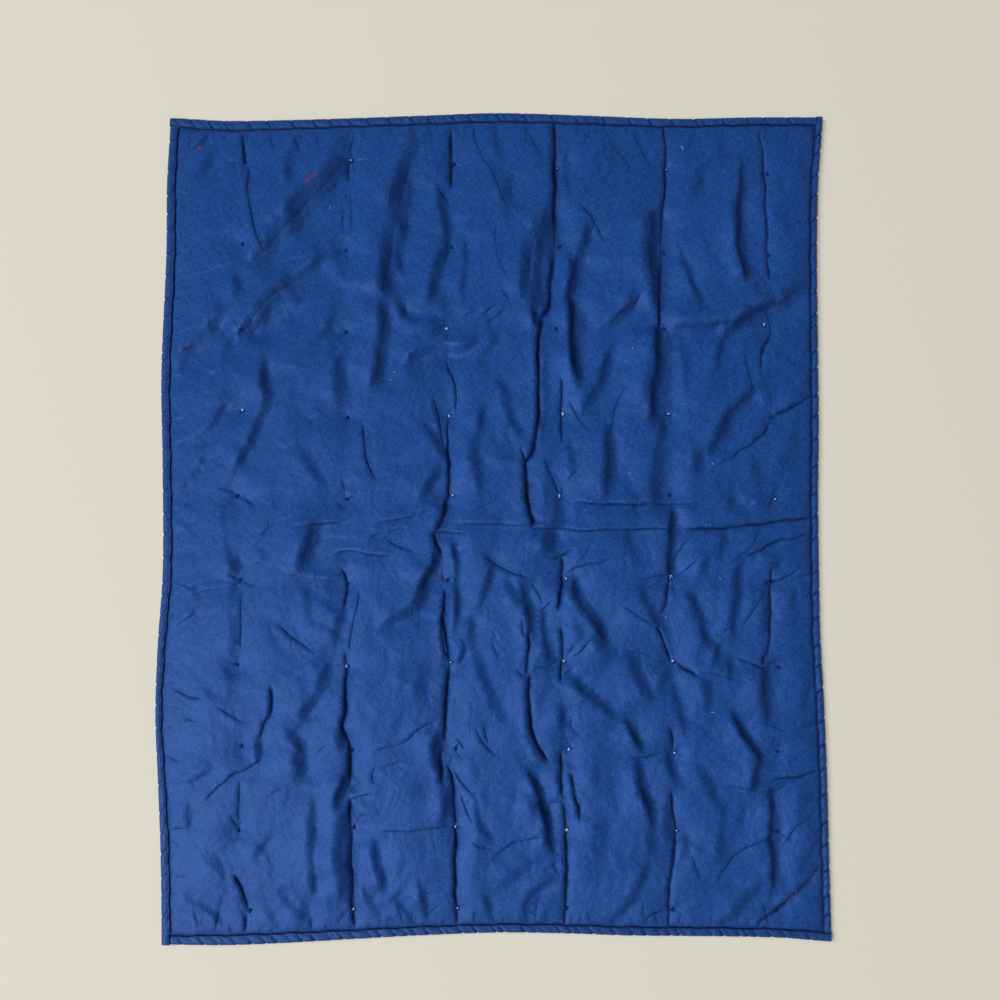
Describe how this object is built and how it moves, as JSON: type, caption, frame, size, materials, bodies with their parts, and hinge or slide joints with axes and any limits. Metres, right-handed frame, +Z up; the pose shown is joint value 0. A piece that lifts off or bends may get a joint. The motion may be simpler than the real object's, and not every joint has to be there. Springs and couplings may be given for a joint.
{
  "type": "baby blanket, a tied crib quilt",
  "caption": "Plain blue padded baby blanket, tied through in rows, with a narrow folded binding, lying flat with soft creases.",
  "frame": {"origin": "bottom centre of the box of the quilt as it lies", "axes": "+Z up out of the face that shows, +Y along the long side towards the edge with the straight top strip, +X to the right seen from above"},
  "size_m": [0.928, 1.153, 0.0173],
  "materials": {
    "quilt_cloth": "matte",
    "binding_cloth": "matte",
    "tie_thread": "matte"
  },
  "bodies": {
    "root": {"quilt_body": "quilt_cloth", "binding_top": "binding_cloth", "binding_right": "binding_cloth", "binding_bottom": "binding_cloth", "binding_left": "binding_cloth"}
  },
  "joints": []
}
